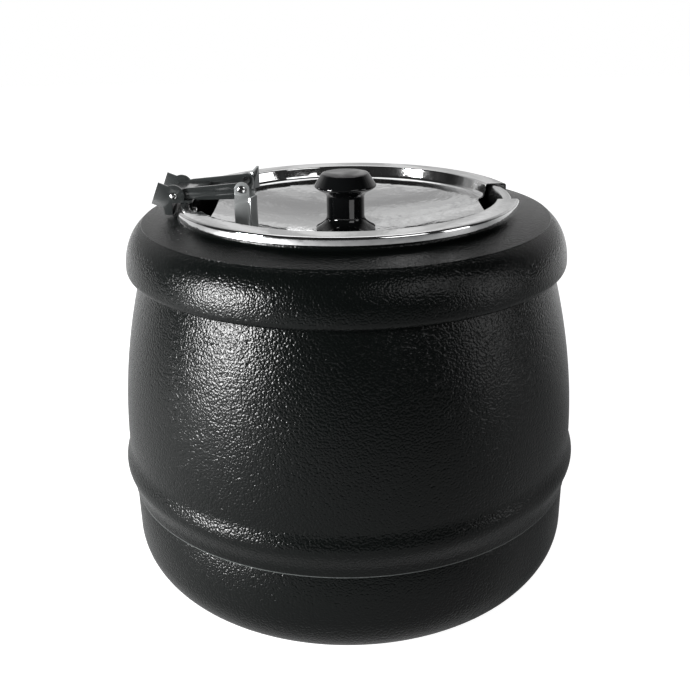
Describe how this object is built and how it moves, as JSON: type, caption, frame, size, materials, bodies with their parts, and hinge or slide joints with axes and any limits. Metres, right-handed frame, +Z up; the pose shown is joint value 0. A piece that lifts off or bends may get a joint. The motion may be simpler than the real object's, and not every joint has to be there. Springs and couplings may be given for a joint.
{
  "type": "soup kettle",
  "caption": "Round electric soup kettle: black barrel body on small feet, lift-out steel pot, dished lid on a clamp-on hinge with a ladle notch, and a rear control dial.",
  "frame": {"origin": "on the ground plane under the middle of the four feet", "axes": "+Z up; +X points from the lid hinge towards the ladle notch; -Y is the front seen in the picture; +Y is the side with the controls"},
  "size_m": [0.3526, 0.3527, 0.3132],
  "materials": {
    "wrinkle_black": "wrinkle-textured black coating",
    "collar_black": "black coating, wrinkle-textured on the roll and satin on the flat top",
    "stainless": "polished stainless steel",
    "mirror_lid": "mirror-polished stainless steel",
    "glass_fibre": "needled glass fibre",
    "spread_plate": "turned",
    "heater_sheath": "heat-tinted",
    "zinc_steel": "zinc plated",
    "pale_moulding": "moulded",
    "dark_moulding": "moulded",
    "copper_bulb": "drawn copper",
    "amber_lens": "clear moulded",
    "foot_rubber": "moulded",
    "hinge_black": "satin black",
    "lug_grey": "dark satin steel",
    "bright_steel": "bright",
    "gloss_knob": "polished phenolic"
  },
  "bodies": {
    "kettle": {"outer_shell": "wrinkle_black", "base_pan": "wrinkle_black", "collar": "collar_black", "water_pan": "stainless", "blanket": "glass_fibre", "heat_plate": "spread_plate", "heater": "heater_sheath", "clamp_plate": "zinc_steel", "centre_stud": "zinc_steel", "heat_shield": "zinc_steel", "thermostat": "pale_moulding", "sensor_bulb": "copper_bulb", "cutout": "dark_moulding", "terminal_block": "pale_moulding", "pilot_lamp": "dark_moulding", "lamp_lens": "amber_lens", "cord_bushing": "dark_moulding", "foot_1": "foot_rubber", "foot_2": "foot_rubber", "foot_3": "foot_rubber", "foot_4": "foot_rubber", "foot_screws": "zinc_steel"},
    "pot": {"inset_pot": "stainless", "hinge_bracket": "hinge_black", "bracket_rivets": "bright_steel", "hinge_pin": "bright_steel"},
    "lid": {"lid": "mirror_lid", "yoke": "hinge_black", "lug_near": "lug_grey", "lug_far": "lug_grey", "lug_rivets": "bright_steel", "lid_knob": "gloss_knob", "knob_washer": "bright_steel", "knob_screw": "bright_steel"},
    "dial": {"dial": "gloss_knob", "dial_shaft": "bright_steel"}
  },
  "joints": [
    {"name": "pot_lift", "type": "slide", "parent": "kettle", "child": "pot", "axis": [0, 0, 1], "range_m": [0, 0.26]},
    {"name": "lid_hinge", "type": "hinge", "parent": "pot", "child": "lid", "pos_m": [-0.123, 0, 0.3008], "axis": [0, -1, 0], "range_deg": [0, 100]},
    {"name": "dial_turn", "type": "hinge", "parent": "kettle", "child": "dial", "pos_m": [0, 0.168, 0.058], "axis": [0, -1, 0], "range_deg": [0, 300]}
  ]
}
